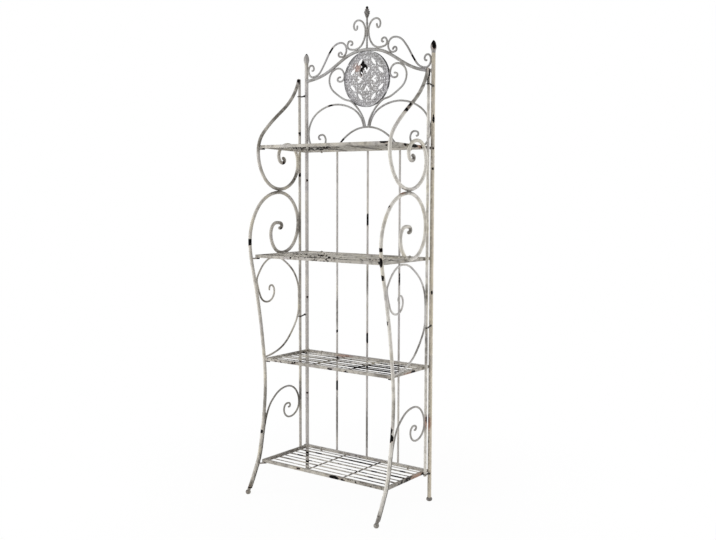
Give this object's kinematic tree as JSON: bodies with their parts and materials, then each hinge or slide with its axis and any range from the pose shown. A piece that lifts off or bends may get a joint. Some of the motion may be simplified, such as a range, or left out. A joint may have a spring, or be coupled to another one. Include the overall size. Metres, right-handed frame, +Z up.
{
  "type": "bakers rack",
  "caption": "Folding metal bakers rack: tubular back frame with scrolled crown and round medallion, hinged scrolled side frames and fold-up wire shelves.",
  "frame": {"origin": "on the floor under the middle of the bounding box", "axes": "+Z up, front faces -Y, +X to the right seen from the front"},
  "size_m": [0.6826, 0.408, 2.032],
  "materials": {
    "cream_paint": "old cream-white paint, chipped to dark metal, with light rust",
    "dark_iron": "bare dark iron wire with traces of the paint"
  },
  "bodies": {
    "back_frame": {"back_post_left": "cream_paint", "back_post_right": "cream_paint", "post_finials": "cream_paint", "post_feet": "cream_paint", "back_rod_left": "cream_paint", "back_rod_middle": "cream_paint", "back_rod_right": "cream_paint", "back_rail_1": "cream_paint", "back_rail_2": "cream_paint", "back_rail_3": "cream_paint", "back_rail_4": "cream_paint", "shelf_loops": "dark_iron", "side_hinge_rings_left": "dark_iron", "side_hinge_rings_right": "dark_iron", "crown_arch": "cream_paint", "crown_centre_rod": "cream_paint", "crown_finial": "cream_paint", "medallion_ring": "cream_paint", "medallion_plate": "cream_paint", "crown_lower_arch": "cream_paint", "crown_s_scroll_left": "cream_paint", "crown_s_scroll_right": "cream_paint", "shoulder_scroll_left": "cream_paint", "shoulder_scroll_right": "cream_paint", "heart_scroll_left": "cream_paint", "heart_scroll_right": "cream_paint", "c_scroll_left": "cream_paint", "c_scroll_right": "cream_paint"},
    "side_frame_left": {"side_upright_left": "cream_paint", "upper_scroll_left": "cream_paint", "front_leg_left": "cream_paint", "middle_scroll_left": "cream_paint", "lower_scroll_left": "cream_paint", "leg_foot_left": "cream_paint", "shelf_pegs_left": "cream_paint"},
    "side_frame_right": {"side_upright_right": "cream_paint", "upper_scroll_right": "cream_paint", "front_leg_right": "cream_paint", "middle_scroll_right": "cream_paint", "lower_scroll_right": "cream_paint", "leg_foot_right": "cream_paint", "shelf_pegs_right": "cream_paint"},
    "shelf_1": {"shelf_1_frame": "cream_paint", "shelf_1_hinge_bar": "cream_paint", "shelf_1_wires": "cream_paint", "shelf_1_cross_bars": "cream_paint"},
    "shelf_2": {"shelf_2_frame": "cream_paint", "shelf_2_hinge_bar": "cream_paint", "shelf_2_wires": "cream_paint", "shelf_2_cross_bars": "cream_paint"},
    "shelf_3": {"shelf_3_frame": "cream_paint", "shelf_3_hinge_bar": "cream_paint", "shelf_3_wires": "cream_paint", "shelf_3_cross_bars": "cream_paint"},
    "shelf_4": {"shelf_4_frame": "cream_paint", "shelf_4_hinge_bar": "cream_paint", "shelf_4_wires": "cream_paint", "shelf_4_cross_bars": "cream_paint"}
  },
  "joints": [
    {"name": "shelf_1_fold", "type": "hinge", "parent": "back_frame", "child": "shelf_1", "pos_m": [0, 0.17559, 1.442], "axis": [-1, 0, 0], "range_deg": [0, 88]},
    {"name": "shelf_2_fold", "type": "hinge", "parent": "back_frame", "child": "shelf_2", "pos_m": [0, 0.17559, 1], "axis": [-1, 0, 0], "range_deg": [0, 90]},
    {"name": "shelf_3_fold", "type": "hinge", "parent": "back_frame", "child": "shelf_3", "pos_m": [0, 0.17559, 0.559], "axis": [-1, 0, 0], "range_deg": [0, 90]},
    {"name": "shelf_4_fold", "type": "hinge", "parent": "back_frame", "child": "shelf_4", "pos_m": [0, 0.17559, 0.126], "axis": [-1, 0, 0], "range_deg": [0, 90]},
    {"name": "side_frame_left_swing", "type": "hinge", "parent": "back_frame", "child": "side_frame_left", "pos_m": [-0.3305, 0.148, 0.9], "axis": [0, 0, -1], "range_deg": [0, 90]},
    {"name": "side_frame_right_swing", "type": "hinge", "parent": "back_frame", "child": "side_frame_right", "pos_m": [0.3305, 0.148, 0.9], "axis": [0, 0, 1], "range_deg": [0, 90]}
  ]
}
